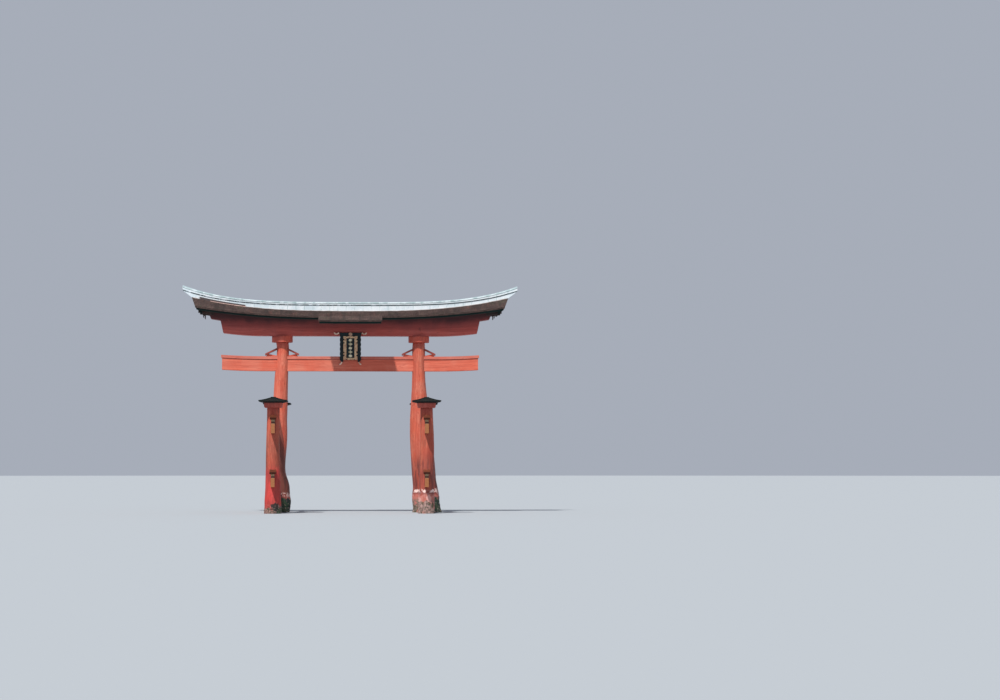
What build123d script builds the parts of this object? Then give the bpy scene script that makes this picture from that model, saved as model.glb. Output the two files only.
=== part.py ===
import os
from math import cos, radians, sin, sqrt, tan

from build123d import *

os.makedirs("parts", exist_ok=True)

# A torii gate that stands in the sea on six feet: two natural trunks carry the top beams,
# and four sleeve posts brace them front and back through wedged ties.
# Millimetres. X runs along the ridge, Y from front (negative) to rear, Z up from the waterline.

# Main posts, as place along X and breadth of the trunk, from foot to head at even heights
left_trunk = [
    (-5290, 1780),
    (-5290, 1620),
    (-5360, 1400),
    (-5235, 1250),
    (-5085, 1120),
    (-5020, 1040),
    (-4935, 950),
    (-4920, 920),
]
right_trunk = [
    (5575, 2140),
    (5420, 1740),
    (5275, 1740),
    (5160, 1620),
    (5050, 1390),
    (4970, 1100),
    (4940, 950),
    (4950, 890),
]
trunk_flute = 0.035
trunk_twist = 8
trunk_points = 8
trunk_seam = 45
trunk_top = 12280

# Round collars between the trunks and the box beam
collar_radius = 750
collar_top = 12750
collar_chamfer = 25

# Sleeve posts
sleeve_x = 5410
sleeve_y = 4400
sleeve_foot_radius = 615
sleeve_waist_radius = 465
sleeve_waist_place = 0.6
sleeve_top_radius = 445
sleeve_top = 7460
capital_top = 7800
capital_low_side = 1230
capital_high_side = 1320
capital_chamfer = 40
little_eave_side = 2030
little_soffit_rise = 100
little_eave_thick = 55
little_roof_rise = 230
little_roof_middle = (1150, 80)
little_roof_tip_side = 260
little_roof_margin = 10

# Ties from front to back
cross_tie_width = 280
cross_tie_reach = 5550
upper_tie_low = 5650
upper_tie_high = 6310
lower_tie_low = 1870
lower_tie_high = 2490
cross_wedge_length = 450
cross_wedge_high = 340
cross_wedge_thin = 120
cross_wedge_inset = 20
cross_hood_width = 460
cross_hood_thick = 80
cross_hood_rise = 240
cross_hood_past_wedge = 110
cross_hood_droop = 44
inside_post = 100

# Tie beam along the gate
tie_reach = 9250
tie_low = 10200
tie_high = 11070
tie_width = 500
tie_sweep_radius = 46500
cover_high = 11270
cover_width = 600
cover_past_end = 70
wedge_length = 680
wedge_width = 300
wedge_thin = 30
wedge_shoulder = (520, 600)
inside_trunk = 200
hood_length = 740
hood_thick = 130
hood_drop = 360
hood_at_post = 11830
hood_width = 560

# Top beams: level in the middle, then swept up in an arc
level_half = 6200
beam_sweep_radius = 21800
lower_beam_low = 12750
lower_beam_high = 13630
lower_beam_foot_reach = 9160
lower_beam_head_reach = 9360
lower_beam_width = 1050
upper_beam_foot_reach = 10050
upper_beam_lean = 0.43
upper_beam_width = 1150
upper_beam_spare = 1000

# Roof: the eave and the ridge line rise to the ends by their own curves
roof_reach = 11400
ridge_line = 14640
ridge_line_rise = 1015
ridge_line_power = 2.9
eave_line = 14090
eave_line_rise = 770
eave_line_power = 2.5
eave_depth = 1750
bark_at_ridge = 150
bark_at_eave = 120
soffit_thick = 60
fascia_inset = 60
fascia_high = 130
fascia_thick = 90
canopy_half = 2275
canopy_depth = 2550
canopy_line = 13780
beyond_gable = 200
fascia_short = 200
gable_cut_foot = 10940
gable_cut_level = 14400
gable_cut_lean = 0.44
gable_space_below = 1400
gable_space_above = 2600
gable_space_half = 4000
roof_space_high = 1500

# Ridge: a course with a cap on it
ridge_reach = 12100
course_sunk = 140
course_high = 15000
course_rise = 1070
ridge_power = 3.8
course_half_width = 300
course_tip_start = 11450
course_tip_high = 16020
cap_high = 15210
cap_rise = 1190
cap_half_width = 350

# Gable ends
gable_board_inset = 170
gable_board_thick = 130
gable_board_high = 400
gable_board_depth = 1560
gable_underside_ridge = 15330
gable_underside_eave = 14680
gable_board_hollow = 70
gable_block_inside = 900
gable_block_long = 1400
gable_block_high = 2000
purlin_width = 240
purlin_start = 9800
purlin_spread = 1000
purlin_lift = 160
purlin_short = 20
purlin_high = 1000
middle_purlin_low = 14860
side_purlin_low = 14200
pendant_reaches = (10540, 10380)
pendant_low = 13980
pendant_width = 60
pendant_head_half = 60
pendant_foot_half = 30
pendant_head = 14680
pendant_outer_lift = 60

# Strut and plaque
strut_width = 600
strut_depth = 440
plaque_lean = 9
plaque_foot = 10970
plaque_width = 1460
plaque_height = 2030
plaque_thick = 80
plaque_lobes = 6
plaque_lobe_bulge = 40
plaque_wing = 130
plaque_wing_high = 260
plaque_leg_width = 230
plaque_leg_drop = 140
plaque_leg_root = 60
plaque_frame_foot = 60
plaque_frame_width = 1020
plaque_frame_height = 1740
plaque_frame_band = 220
plaque_frame_thick = 90
plaque_frame_chamfer = 12
plaque_bite_radius = 52
plaque_bites = (382, 622, 1312, 1555)
plaque_side_bite = 478
plaque_top_bite = 255
plaque_scallops = ((-280, 25), (0, 45), (280, 25))
plaque_scallop_radius = 83
plaque_panel_thick = 50
head_curl = ((100, 2040), (190, 1965), (290, 1935), (430, 2050))
foot_curl = ((-110, -80), (-60, -200), (60, -270))
curl_width = 85
curl_thick = 70
boss_radius = 130
boss_below_head = 95
bracket_side = 90
bracket_spread = 450
bracket_level = 12900
bracket_reach = 110

curve_stops = [-1, -0.93, -0.85, -0.75, -0.6, -0.4, 0, 0.4, 0.6, 0.75, 0.85, 0.93, 1]


def finish(piece, label):
    piece.part.label = label
    export_step(piece.part, f"parts/{label}.step")


def risen(x, base, rise, power, reach):
    return base + rise * (abs(x) / reach) ** power


def ridge_point(x, drop=0):
    return (x, risen(x, ridge_line - drop, ridge_line_rise, ridge_line_power, roof_reach))


def eave_point(x, drop=0):
    return (x, risen(x, eave_line - drop, eave_line_rise, eave_line_power, roof_reach))


def course_point(x):
    return (x, risen(x, course_high, course_rise, ridge_power, ridge_reach))


def cap_point(x):
    return (x, risen(x, cap_high, cap_rise, ridge_power, ridge_reach))


def swept(reach, base, radius):
    return base + radius - sqrt(radius**2 - (reach - level_half) ** 2)


def band(low, high, reach):
    """Draw a long curved strip between two height curves of x."""
    ends = [stop * reach for stop in curve_stops]
    with BuildSketch() as strip:
        with BuildLine():
            under = Spline(*[low(x) for x in ends])
            over = Spline(*[high(x) for x in ends])
            Line(under @ 0, over @ 0)
            Line(under @ 1, over @ 1)
        make_face()
    return strip.sketch


def beam_side(low, high, low_reach, high_reach, radius):
    """Draw a beam that is level in the middle and swept up at both ends."""
    with BuildSketch() as outline:
        with BuildLine():
            Line((-level_half, low), (level_half, low))
            Line((-level_half, high), (level_half, high))
            for hand in (-1, 1):
                foot = (hand * low_reach, swept(low_reach, low, radius))
                head = (hand * high_reach, swept(high_reach, high, radius))
                TangentArc((hand * level_half, low), foot, tangent=(hand, 0))
                TangentArc((hand * level_half, high), head, tangent=(hand, 0))
                Line(foot, head)
        make_face()
    return outline.sketch


def sleeve_outline(x):
    """Draw half of a sleeve post's upright section, swelling to its foot."""
    with BuildSketch() as outline:
        with BuildLine():
            Line((x, 0), (x + sleeve_foot_radius, 0))
            Spline(
                (x + sleeve_foot_radius, 0),
                (x + sleeve_waist_radius, sleeve_waist_place * sleeve_top),
                (x + sleeve_top_radius, sleeve_top),
            )
            Line((x + sleeve_top_radius, sleeve_top), (x, sleeve_top))
            Line((x, sleeve_top), (x, 0))
        make_face()
    return outline.sketch


# Ties from front to back, two on each side
cross_ties = {}
for side, x in (("left", -sleeve_x), ("right", sleeve_x)):
    for storey, low, high in (
        ("lower", lower_tie_low, lower_tie_high),
        ("upper", upper_tie_low, upper_tie_high),
    ):
        with BuildPart() as cross_tie:
            with BuildSketch(Plane.XZ.offset(-cross_tie_reach)):
                with Locations((x, (low + high) / 2)):
                    Rectangle(cross_tie_width, high - low)
            extrude(amount=2 * cross_tie_reach)
        cross_ties[side, storey] = cross_tie
        finish(cross_tie, f"cross_tie_{side}_{storey}")

# Tie beam along the gate
with BuildPart() as tie_beam:
    with BuildSketch(Plane.XZ.offset(-tie_width / 2)):
        add(beam_side(tie_low, tie_high, tie_reach, tie_reach, tie_sweep_radius))
    extrude(amount=tie_width)
finish(tie_beam, "tie_beam")

# Main posts: bent trunks, with mortises for the ties
def trunk_outline(breadth, twist):
    """Draw the uneven round of a natural trunk, with shallow flutes that wind up it."""
    rim = []
    for step in range(trunk_points):
        turn = radians(trunk_seam + 360 * step / trunk_points)
        flute = 1 + trunk_flute * cos(3 * turn + radians(twist)) * sin(turn - radians(2 * twist))
        rim.append((breadth / 2 * flute * cos(turn), breadth / 2 * flute * sin(turn)))
    with BuildSketch() as outline:
        with BuildLine():
            Spline(*rim, periodic=True)
        make_face()
    return outline.sketch


logs = {}
trunks = {}
for side, sections in (("left", left_trunk), ("right", right_trunk)):
    step_height = trunk_top / (len(sections) - 1)
    with BuildPart() as log:
        for place, (x, breadth) in enumerate(sections):
            with BuildSketch(Plane.XY.offset(place * step_height)):
                with Locations((x, 0)):
                    add(trunk_outline(breadth, trunk_twist * place))
        loft()
    logs[side] = log

    with BuildPart() as trunk:
        add(log.part)
        add(tie_beam.part, mode=Mode.SUBTRACT)
        add(cross_ties[side, "lower"].part, mode=Mode.SUBTRACT)
        add(cross_ties[side, "upper"].part, mode=Mode.SUBTRACT)
    trunks[side] = trunk
    finish(trunk, f"main_post_{side}")

    with BuildPart() as collar:
        with BuildSketch(Plane.XY.offset(trunk_top)):
            with Locations((sections[-1][0], 0)):
                Circle(collar_radius)
        extrude(amount=collar_top - trunk_top)
        chamfer(collar.edges().group_by(Axis.Z)[0], collar_chamfer)
    finish(collar, f"post_collar_{side}")

# Sleeve posts with their capitals and little roofs
sleeves = []
for side, x in (("left", -sleeve_x), ("right", sleeve_x)):
    for end, y in (("front", -sleeve_y), ("rear", sleeve_y)):
        with BuildPart() as sleeve:
            with BuildSketch(Plane.XZ.offset(-y)):
                add(sleeve_outline(x))
            revolve(axis=Axis((x, y, 0), (0, 0, 1)))
            add(cross_ties[side, "lower"].part, mode=Mode.SUBTRACT)
            add(cross_ties[side, "upper"].part, mode=Mode.SUBTRACT)
        sleeves.append(sleeve)
        finish(sleeve, f"sleeve_post_{side}_{end}")

        with BuildPart() as capital:
            with BuildSketch(Plane.XY.offset(sleeve_top)):
                with Locations((x, y)):
                    Rectangle(capital_low_side, capital_low_side)
            with BuildSketch(Plane.XY.offset(capital_top)):
                with Locations((x, y)):
                    Rectangle(capital_high_side, capital_high_side)
            loft()
            chamfer(capital.faces().sort_by(Axis.Z)[0].edges(), capital_chamfer)
        finish(capital, f"sleeve_capital_{side}_{end}")

        eave_foot = capital_top + little_soffit_rise
        eave_top = eave_foot + little_eave_thick
        with BuildPart() as little_roof:
            for level, breadth in ((capital_top, capital_high_side), (eave_foot, little_eave_side)):
                with BuildSketch(Plane.XY.offset(level)):
                    with Locations((x, y)):
                        Rectangle(breadth, breadth)
            loft()
            with BuildSketch(Plane.XY.offset(eave_foot)):
                with Locations((x, y)):
                    Rectangle(little_eave_side, little_eave_side)
            extrude(amount=little_eave_thick)
            for rise, breadth in (
                (0, little_eave_side - 2 * little_roof_margin),
                (little_roof_middle[1], little_roof_middle[0]),
                (little_roof_rise, little_roof_tip_side),
            ):
                with BuildSketch(Plane.XY.offset(eave_top + rise)):
                    with Locations((x, y)):
                        Rectangle(breadth, breadth)
            loft()
        finish(little_roof, f"sleeve_roof_{side}_{end}")

# Wedges and hoods over the ties, on the outer side of each sleeve post
post_face = sleeve_y + sleeve_waist_radius
wedge_tip = post_face + cross_wedge_length
hood_tip = wedge_tip + cross_hood_past_wedge
with BuildPart() as cross_wedges:
    for x in (-sleeve_x, sleeve_x):
        for high in (lower_tie_high, upper_tie_high):
            for way in (-1, 1):
                with BuildSketch(Plane.YZ.offset(x - cross_tie_width / 2 + cross_wedge_inset)):
                    Polygon(
                        (way * (post_face - inside_post), high),
                        (way * wedge_tip, high),
                        (way * wedge_tip, high + cross_wedge_high),
                        (way * (post_face - inside_post), high + cross_wedge_thin),
                        align=None,
                    )
                extrude(amount=cross_tie_width - 2 * cross_wedge_inset)
    for sleeve in sleeves:
        add(sleeve.part, mode=Mode.SUBTRACT)
finish(cross_wedges, "cross_tie_wedges")

with BuildPart() as cross_hoods:
    for x in (-sleeve_x, sleeve_x):
        for high in (lower_tie_high, upper_tie_high):
            seat = high + cross_wedge_high
            for way in (-1, 1):
                with BuildSketch(Plane.YZ.offset(x - cross_hood_width / 2)):
                    Polygon(
                        (way * (post_face - inside_post), seat + cross_hood_rise),
                        (way * wedge_tip, seat),
                        (way * hood_tip, seat - cross_hood_droop),
                        (way * hood_tip, seat + cross_hood_thick - cross_hood_droop),
                        (way * (post_face - inside_post), seat + cross_hood_rise + cross_hood_thick),
                        align=None,
                    )
                extrude(amount=cross_hood_width)
    for sleeve in sleeves:
        add(sleeve.part, mode=Mode.SUBTRACT)
finish(cross_hoods, "cross_tie_hoods")

# Strut between the tie beam and the box beam
with BuildPart() as strut:
    with BuildSketch(Plane.XY.offset(tie_high)):
        Rectangle(strut_width, strut_depth)
    extrude(amount=lower_beam_low - tie_high)
finish(strut, "centre_strut")

# Cover boards along the top of the tie beam, cut round the posts and the strut
with BuildPart() as tie_cover:
    with BuildSketch(Plane.XZ.offset(-cover_width / 2)):
        cover_reach = tie_reach + cover_past_end
        add(beam_side(tie_high, cover_high, cover_reach, cover_reach, tie_sweep_radius))
    extrude(amount=cover_width)
    add(logs["left"].part, mode=Mode.SUBTRACT)
    add(logs["right"].part, mode=Mode.SUBTRACT)
    add(strut.part, mode=Mode.SUBTRACT)
finish(tie_cover, "tie_beam_cover")

# Wedges and sloping hoods each side of the main posts, above the tie beam
hood_fall = hood_drop / hood_length
hood_under = hood_at_post - hood_thick
near, far = wedge_shoulder
for side, sections in (("left", left_trunk), ("right", right_trunk)):
    centre, breadth = sections[-2]
    with BuildPart() as wedges:
        for way in (-1, 1):
            post = centre + way * breadth / 2
            with BuildSketch(Plane.XZ.offset(-wedge_width / 2)):
                Polygon(
                    (post - way * inside_trunk, cover_high),
                    (post + way * wedge_length, cover_high),
                    (post + way * far, hood_under - hood_fall * far),
                    (post + way * near, hood_under - hood_fall * near),
                    (post - way * inside_trunk, cover_high + wedge_thin),
                    align=None,
                )
            extrude(amount=wedge_width)
        add(trunks[side].part, mode=Mode.SUBTRACT)
        add(tie_cover.part, mode=Mode.SUBTRACT)
    finish(wedges, f"tie_wedges_{side}")

    with BuildPart() as hoods:
        for way in (-1, 1):
            post = centre + way * breadth / 2
            with BuildSketch(Plane.XZ.offset(-hood_width / 2)):
                Polygon(
                    (post - way * inside_trunk, hood_under + hood_fall * inside_trunk),
                    (post + way * hood_length, hood_under - hood_drop),
                    (post + way * hood_length, hood_at_post - hood_drop),
                    (post - way * inside_trunk, hood_at_post + hood_fall * inside_trunk),
                    align=None,
                )
            extrude(amount=hood_width)
        add(trunks[side].part, mode=Mode.SUBTRACT)
    finish(hoods, f"wedge_hoods_{side}")

# Lower top beam
with BuildPart() as lower_beam:
    with BuildSketch(Plane.XZ.offset(-lower_beam_width / 2)):
        add(
            beam_side(
                lower_beam_low,
                lower_beam_high,
                lower_beam_foot_reach,
                lower_beam_head_reach,
                beam_sweep_radius,
            )
        )
    extrude(amount=lower_beam_width)
finish(lower_beam, "lower_top_beam")


def roof_layer(way, high_drop, low_drop):
    """Loft a roof layer from the ridge line to the eave, between two drops below the top."""
    with BuildPart() as layer:
        with BuildSketch(Plane.XZ):
            add(
                band(
                    lambda x: ridge_point(x, low_drop[0]),
                    lambda x: ridge_point(x, high_drop[0]),
                    roof_reach + beyond_gable,
                )
            )
        with BuildSketch(Plane.XZ.offset(way * eave_depth)):
            add(
                band(
                    lambda x: eave_point(x, low_drop[1]),
                    lambda x: eave_point(x, high_drop[1]),
                    roof_reach + beyond_gable,
                )
            )
        loft(ruled=True)
    return layer.part


def canopy_layer(way, high_drop, low_drop, half, depth):
    """Loft the piece of a roof layer that reaches past the eave over the plaque."""
    fall = (eave_line - canopy_line) * (depth - eave_depth) / (canopy_depth - eave_depth)
    with BuildPart() as layer:
        for out, drop in ((eave_depth, 0), (depth, fall)):
            with BuildSketch(Plane.XZ.offset(way * out)):
                add(
                    band(
                        lambda x: eave_point(x, low_drop + drop),
                        lambda x: eave_point(x, high_drop + drop),
                        half,
                    )
                )
        loft(ruled=True)
    return layer.part


# The gables lean outwards, and trim every roof layer
with BuildPart() as gable_space:
    foot_half = gable_cut_foot - gable_cut_lean * gable_space_below
    head_half = gable_cut_foot + gable_cut_lean * gable_space_above
    with BuildSketch(Plane.XZ.offset(-gable_space_half)):
        Polygon(
            (-foot_half, gable_cut_level - gable_space_below),
            (foot_half, gable_cut_level - gable_space_below),
            (head_half, gable_cut_level + gable_space_above),
            (-head_half, gable_cut_level + gable_space_above),
            align=None,
        )
    extrude(amount=2 * gable_space_half)

# Bark on the two slopes, with the deeper canopy over the plaque, and the boards under it
bark_drop = (bark_at_ridge, bark_at_eave)
soffit_drop = (bark_at_ridge + soffit_thick, bark_at_eave + soffit_thick)
barks = {}
for end, way in (("front", 1), ("rear", -1)):
    with BuildPart() as bark:
        add(roof_layer(way, (0, 0), bark_drop))
        add(canopy_layer(way, 0, bark_at_eave, canopy_half, canopy_depth))
        add(gable_space.part, mode=Mode.INTERSECT)
    barks[end] = bark
    finish(bark, f"bark_roof_{end}")

    with BuildPart() as eave_board:
        add(roof_layer(way, bark_drop, soffit_drop))
        add(
            canopy_layer(
                way,
                bark_at_eave,
                bark_at_eave + soffit_thick,
                canopy_half - fascia_inset,
                canopy_depth - fascia_inset,
            )
        )
        add(gable_space.part, mode=Mode.INTERSECT)
        trim_length = roof_reach - canopy_half + fascia_inset
        with BuildSketch(Plane.XY.offset(lower_beam_high)):
            for hand in (-1, 1):
                with Locations((hand * (roof_reach - trim_length / 2), -way * eave_depth)):
                    Rectangle(trim_length, 2 * fascia_inset)
        extrude(amount=gable_space_half, mode=Mode.SUBTRACT)
        for start, reach, fall in (
            (eave_depth - fascia_inset, roof_reach - fascia_short, 0),
            (canopy_depth - fascia_inset, canopy_half - fascia_inset, eave_line - canopy_line),
        ):
            with BuildSketch(Plane.XZ.offset(way * start)):
                add(
                    band(
                        lambda x: eave_point(x, bark_at_eave + fascia_high + fall),
                        lambda x: eave_point(x, bark_at_eave + fall),
                        reach,
                    )
                )
            extrude(amount=-way * fascia_thick)
        add(gable_space.part, mode=Mode.INTERSECT)
    finish(eave_board, f"eave_board_{end}")

# Upper top beam, its head cut to the underside of the two slopes
with BuildPart() as roof_space:
    for way in (1, -1):
        add(roof_layer(way, (-roof_space_high, -roof_space_high), soffit_drop))
with BuildPart() as upper_beam:
    with BuildSketch(Plane.XZ.offset(-upper_beam_width / 2)):
        add(
            beam_side(
                lower_beam_high,
                lower_beam_high + upper_beam_spare,
                upper_beam_foot_reach,
                upper_beam_foot_reach + upper_beam_lean * upper_beam_spare,
                beam_sweep_radius,
            )
        )
    extrude(amount=upper_beam_width)
    add(roof_space.part, mode=Mode.SUBTRACT)
finish(upper_beam, "upper_top_beam")

# Gable boards at the roof ends, with the arches of their lower edge
gable_boards = []
gable_foot = gable_underside_eave - gable_board_high
gable_head = gable_underside_ridge - gable_board_high
block_low = gable_cut_level - gable_block_inside
block_high = gable_cut_level + gable_block_long
board_outside = gable_cut_foot - gable_board_inset
board_inside = board_outside - gable_board_thick
for side, way in (("left", -1), ("right", 1)):
    with BuildPart() as gable_board:
        with BuildSketch(Plane.YZ.offset(way * (gable_cut_foot - gable_block_inside))):
            with BuildLine():
                for hand in (-1, 1):
                    corner = hand * gable_board_depth
                    ThreePointArc(
                        (corner, gable_foot),
                        (corner / 2, (gable_foot + gable_head) / 2 - gable_board_hollow),
                        (0, gable_head),
                    )
                    Line((corner, gable_foot), (corner, gable_foot + gable_block_high))
                Line(
                    (-gable_board_depth, gable_foot + gable_block_high),
                    (gable_board_depth, gable_foot + gable_block_high),
                )
            make_face()
        extrude(amount=way * gable_block_long)
        with BuildSketch(Plane.XZ.offset(-gable_block_high)):
            Polygon(
                (way * (board_outside - gable_cut_lean * gable_block_inside), block_low),
                (way * (board_outside + gable_cut_lean * gable_block_long), block_high),
                (way * (board_inside + gable_cut_lean * gable_block_long), block_high),
                (way * (board_inside - gable_cut_lean * gable_block_inside), block_low),
                align=None,
            )
        extrude(amount=2 * gable_block_high, mode=Mode.INTERSECT)
        add(roof_space.part, mode=Mode.SUBTRACT)
    gable_boards.append(gable_board)
    finish(gable_board, f"gable_board_{side}")

# Purlin stubs that carry the gable boards, and the pendant boards under the outer ones
purlin_end = gable_cut_foot - purlin_short
with BuildPart() as purlins:
    for way, pendant_reach in zip((-1, 1), pendant_reaches):
        for y, low in (
            (-purlin_spread, side_purlin_low),
            (0, middle_purlin_low),
            (purlin_spread, side_purlin_low),
        ):
            with BuildSketch(Plane.XZ.offset(-y - purlin_width / 2)):
                Polygon(
                    (way * purlin_start, low),
                    (way * purlin_end, low + purlin_lift),
                    (way * purlin_end, low + purlin_high),
                    (way * purlin_start, low + purlin_high),
                    align=None,
                )
            extrude(amount=purlin_width)
        for y in (-purlin_spread, purlin_spread):
            with BuildSketch(Plane.XZ.offset(-y - pendant_width / 2)):
                Polygon(
                    (way * (pendant_reach - pendant_head_half), pendant_head),
                    (way * (pendant_reach + pendant_head_half), pendant_head),
                    (way * (pendant_reach + pendant_foot_half), pendant_low + pendant_outer_lift),
                    (way * (pendant_reach - pendant_foot_half), pendant_low),
                    align=None,
                )
            extrude(amount=pendant_width)
    add(roof_space.part, mode=Mode.SUBTRACT)
    add(upper_beam.part, mode=Mode.SUBTRACT)
    for gable_board in gable_boards:
        add(gable_board.part, mode=Mode.SUBTRACT)
finish(purlins, "gable_purlins")

# Ridge course, cut to sit on the bark, and the cap on it
with BuildPart() as course:
    with BuildSketch(Plane.XZ.offset(-course_half_width)):
        with BuildLine():
            under = Spline(*[ridge_point(stop * course_tip_start, course_sunk) for stop in curve_stops])
            over = Spline(*[course_point(stop * ridge_reach) for stop in curve_stops])
            for hand, end in ((-1, 0), (1, 1)):
                Line(under @ end, (hand * ridge_reach, course_tip_high))
                Line((hand * ridge_reach, course_tip_high), over @ end)
        make_face()
    extrude(amount=2 * course_half_width)
    add(barks["front"].part, mode=Mode.SUBTRACT)
    add(barks["rear"].part, mode=Mode.SUBTRACT)
finish(course, "ridge_course")

with BuildPart() as cap:
    with BuildSketch(Plane.XZ.offset(-cap_half_width)):
        add(band(course_point, cap_point, ridge_reach))
    extrude(amount=2 * cap_half_width)
finish(cap, "ridge_cap")

# Plaque, leaning forward at its head
lean = radians(plaque_lean)
plaque_back = cover_width / 2 - (tie_high - plaque_foot) * tan(lean)
plaque_plane = Plane(
    origin=(0, -plaque_back, plaque_foot),
    x_dir=(1, 0, 0),
    z_dir=(0, -cos(lean), -sin(lean)),
)
frame_middle = plaque_frame_foot + plaque_frame_height / 2
half_board = plaque_width / 2
wing_foot = plaque_height - plaque_wing_high
with BuildPart() as plaque_board:
    with BuildSketch(plaque_plane):
        lobe = plaque_height / plaque_lobes
        with BuildLine():
            for hand in (-1, 1):
                for step in range(plaque_lobes):
                    ThreePointArc(
                        (hand * half_board, step * lobe),
                        (hand * (half_board + plaque_lobe_bulge), (step + 0.5) * lobe),
                        (hand * half_board, (step + 1) * lobe),
                    )
            Line((-half_board, 0), (half_board, 0))
            Line((-half_board, plaque_height), (half_board, plaque_height))
        make_face()
        for hand in (-1, 1):
            wing_tip = (hand * (half_board + plaque_wing), plaque_height)
            with BuildLine():
                ThreePointArc(
                    (hand * half_board, wing_foot),
                    (hand * (half_board + 0.35 * plaque_wing), wing_foot + 0.65 * plaque_wing_high),
                    wing_tip,
                )
                Line(wing_tip, (0, plaque_height))
                Line((0, plaque_height), (0, wing_foot))
                Line((0, wing_foot), (hand * half_board, wing_foot))
            make_face()
            leg_outside = (hand * half_board, plaque_leg_root)
            leg_inside = (hand * (half_board - plaque_leg_width), plaque_leg_root)
            leg_tip = (hand * (half_board - 0.4 * plaque_leg_width), -plaque_leg_drop)
            with BuildLine():
                Line(leg_outside, leg_inside)
                ThreePointArc(
                    leg_inside,
                    (hand * (half_board - 0.8 * plaque_leg_width), -0.6 * plaque_leg_drop),
                    leg_tip,
                )
                Line(leg_tip, leg_outside)
            make_face()
        with Locations((0, plaque_frame_foot / 2)):
            Rectangle(plaque_frame_width, plaque_frame_foot, mode=Mode.SUBTRACT)
    extrude(amount=plaque_thick)
finish(plaque_board, "plaque_board")

inner_width = plaque_frame_width - 2 * plaque_frame_band
inner_height = plaque_frame_height - 1.4 * plaque_frame_band
frame_head = plaque_frame_foot + plaque_frame_height
outward = Axis(plaque_plane.origin, plaque_plane.z_dir)
with BuildPart() as plaque_frame:
    with BuildSketch(plaque_plane.offset(plaque_thick)):
        with Locations((0, frame_middle)):
            Rectangle(plaque_frame_width, plaque_frame_height)
            Rectangle(inner_width, inner_height, mode=Mode.SUBTRACT)
        for height in plaque_bites:
            with Locations((-plaque_side_bite, height), (plaque_side_bite, height)):
                Circle(plaque_bite_radius, mode=Mode.SUBTRACT)
        with Locations((-plaque_top_bite, frame_head), (plaque_top_bite, frame_head)):
            Circle(plaque_bite_radius, mode=Mode.SUBTRACT)
        for across, below in plaque_scallops:
            with Locations((across, plaque_frame_foot - below)):
                Circle(plaque_scallop_radius, mode=Mode.SUBTRACT)
    extrude(amount=plaque_frame_thick)
    chamfer(plaque_frame.faces().sort_by(outward)[-1].edges(), plaque_frame_chamfer)
finish(plaque_frame, "plaque_frame")

with BuildPart() as plaque_panel:
    with BuildSketch(plaque_plane.offset(plaque_thick)):
        with Locations((0, frame_middle)):
            Rectangle(inner_width, inner_height)
    extrude(amount=plaque_panel_thick)
finish(plaque_panel, "plaque_panel")

# Curls at the plaque's corners, a plain boss over its frame, and brackets behind its head
with BuildPart() as fittings:
    with BuildSketch(plaque_plane.offset(plaque_thick)):
        for hand in (-1, 1):
            for curl in (head_curl, foot_curl):
                with BuildLine():
                    Spline(*[(hand * (half_board + out), up) for out, up in curl])
                trace(line_width=curl_width)
        with Locations((0, plaque_height - boss_below_head)):
            Circle(boss_radius)
    extrude(amount=curl_thick)
    with BuildSketch(Plane.XZ.offset(lower_beam_width / 2)):
        with Locations((-bracket_spread, bracket_level), (bracket_spread, bracket_level)):
            Rectangle(bracket_side, bracket_side)
    extrude(amount=bracket_reach)
    add(plaque_board.part, mode=Mode.SUBTRACT)
finish(fittings, "plaque_fittings")
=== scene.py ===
import math
import random

import bmesh
import bpy
from mathutils import Matrix, Vector, noise
from mathutils.bvhtree import BVHTree


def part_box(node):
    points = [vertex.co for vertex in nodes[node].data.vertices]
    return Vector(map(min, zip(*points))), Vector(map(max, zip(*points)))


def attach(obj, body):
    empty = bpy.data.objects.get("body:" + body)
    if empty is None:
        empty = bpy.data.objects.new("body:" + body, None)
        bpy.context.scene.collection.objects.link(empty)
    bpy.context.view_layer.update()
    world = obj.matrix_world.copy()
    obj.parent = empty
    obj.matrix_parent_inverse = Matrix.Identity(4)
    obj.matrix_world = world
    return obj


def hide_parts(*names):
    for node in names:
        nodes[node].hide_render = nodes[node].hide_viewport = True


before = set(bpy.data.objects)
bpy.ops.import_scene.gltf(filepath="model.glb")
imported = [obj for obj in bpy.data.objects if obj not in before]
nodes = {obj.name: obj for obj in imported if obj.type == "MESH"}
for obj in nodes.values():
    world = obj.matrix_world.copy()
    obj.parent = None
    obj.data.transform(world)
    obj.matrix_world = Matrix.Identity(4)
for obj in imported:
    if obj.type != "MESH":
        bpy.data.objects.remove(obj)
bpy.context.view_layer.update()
random.seed(11)  # the same boards and shells each run
sides = ("left", "right")
ends = ("front", "rear")
wayOf = {"left": -1, "right": 1, "front": -1, "rear": 1}
print("frame loaded:", len(nodes), "nodes")


# the frame's own lines: height in the middle, rise at the reach, power of the rise and reach
curves = dict(
    ridge=(14.64, 1.015, 2.9, 11.4), eave=(14.09, 0.77, 2.5, 11.4),
    course=(15.0, 1.07, 3.8, 12.1), cap=(15.21, 1.19, 3.8, 12.1),
)
# the frame's roof, and the stretch of it where the copper skirt is torn off
roof = dict(
    depth=1.75, canopyHalf=2.275, canopyDepth=2.55, canopyFall=0.31, gableFoot=10.94,
    gableLevel=14.4, gableLean=0.44, barkRidge=0.15, barkEave=0.12, tornFrom=-11.0, tornTo=-7.57,
)
# the beams run level in the middle, then sweep up on an arc
beams = dict(level=6.2, radius=21.8, tieRadius=46.5, lowerFoot=12.75, lowerHead=13.63, lowerHalf=0.525)


def between(start, stop, share):
    return start + (stop - start) * share


def curveAt(name, x):
    base, rise, power, reach = curves[name]
    return base + rise * (abs(x) / reach) ** power


def slopeHeight(x, share):
    return between(curveAt("ridge", x), curveAt("eave", x), share)


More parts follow.
